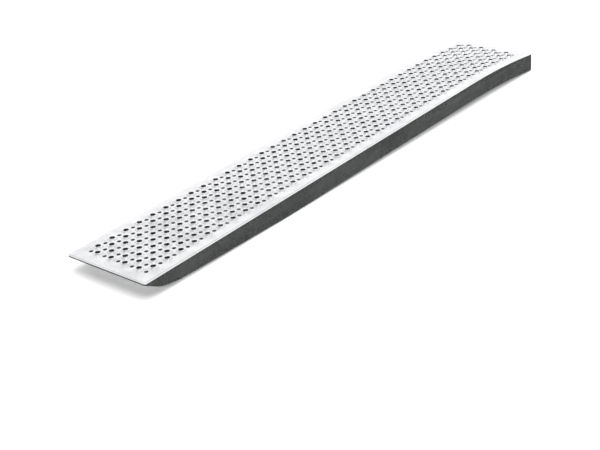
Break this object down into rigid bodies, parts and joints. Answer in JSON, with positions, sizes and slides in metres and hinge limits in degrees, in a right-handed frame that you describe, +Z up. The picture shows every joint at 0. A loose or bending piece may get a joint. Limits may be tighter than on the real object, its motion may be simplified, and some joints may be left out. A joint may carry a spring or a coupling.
{
  "type": "scaffold plank",
  "caption": "Perforated steel plank with raised grip openings, folded side flanges, a tapered foot end and a gently curved top end, stiffened by cross ribs underneath.",
  "frame": {"origin": "centre of the footprint, level with the lowest edge, which is the underside of the curved top end", "axes": "+X along the plank from the tapered foot end to the curved top end, +Y across to the left side flange, +Z up, with the straight part of the deck parallel to XY"},
  "size_m": [1.4988, 0.225, 0.0717],
  "materials": {
    "galvanised_deck": "bright zinc, lightly brushed",
    "galvanised_rib": "bright zinc, duller underneath",
    "galvanised_bar": "zinc over hot-rolled bar",
    "weld_metal": "zinc over rippled weld"
  },
  "bodies": {
    "root": {"deck_panel": "galvanised_deck", "cross_rib_1": "galvanised_rib", "cross_rib_2": "galvanised_rib", "cross_rib_3": "galvanised_rib", "cross_rib_4": "galvanised_rib", "cross_rib_5": "galvanised_rib", "cross_rib_6": "galvanised_rib", "foot_bar": "galvanised_bar", "top_end_angle": "galvanised_bar", "rib_tab_welds": "weld_metal", "foot_bar_welds": "weld_metal", "top_end_angle_welds": "weld_metal", "corner_welds": "weld_metal"}
  },
  "joints": []
}
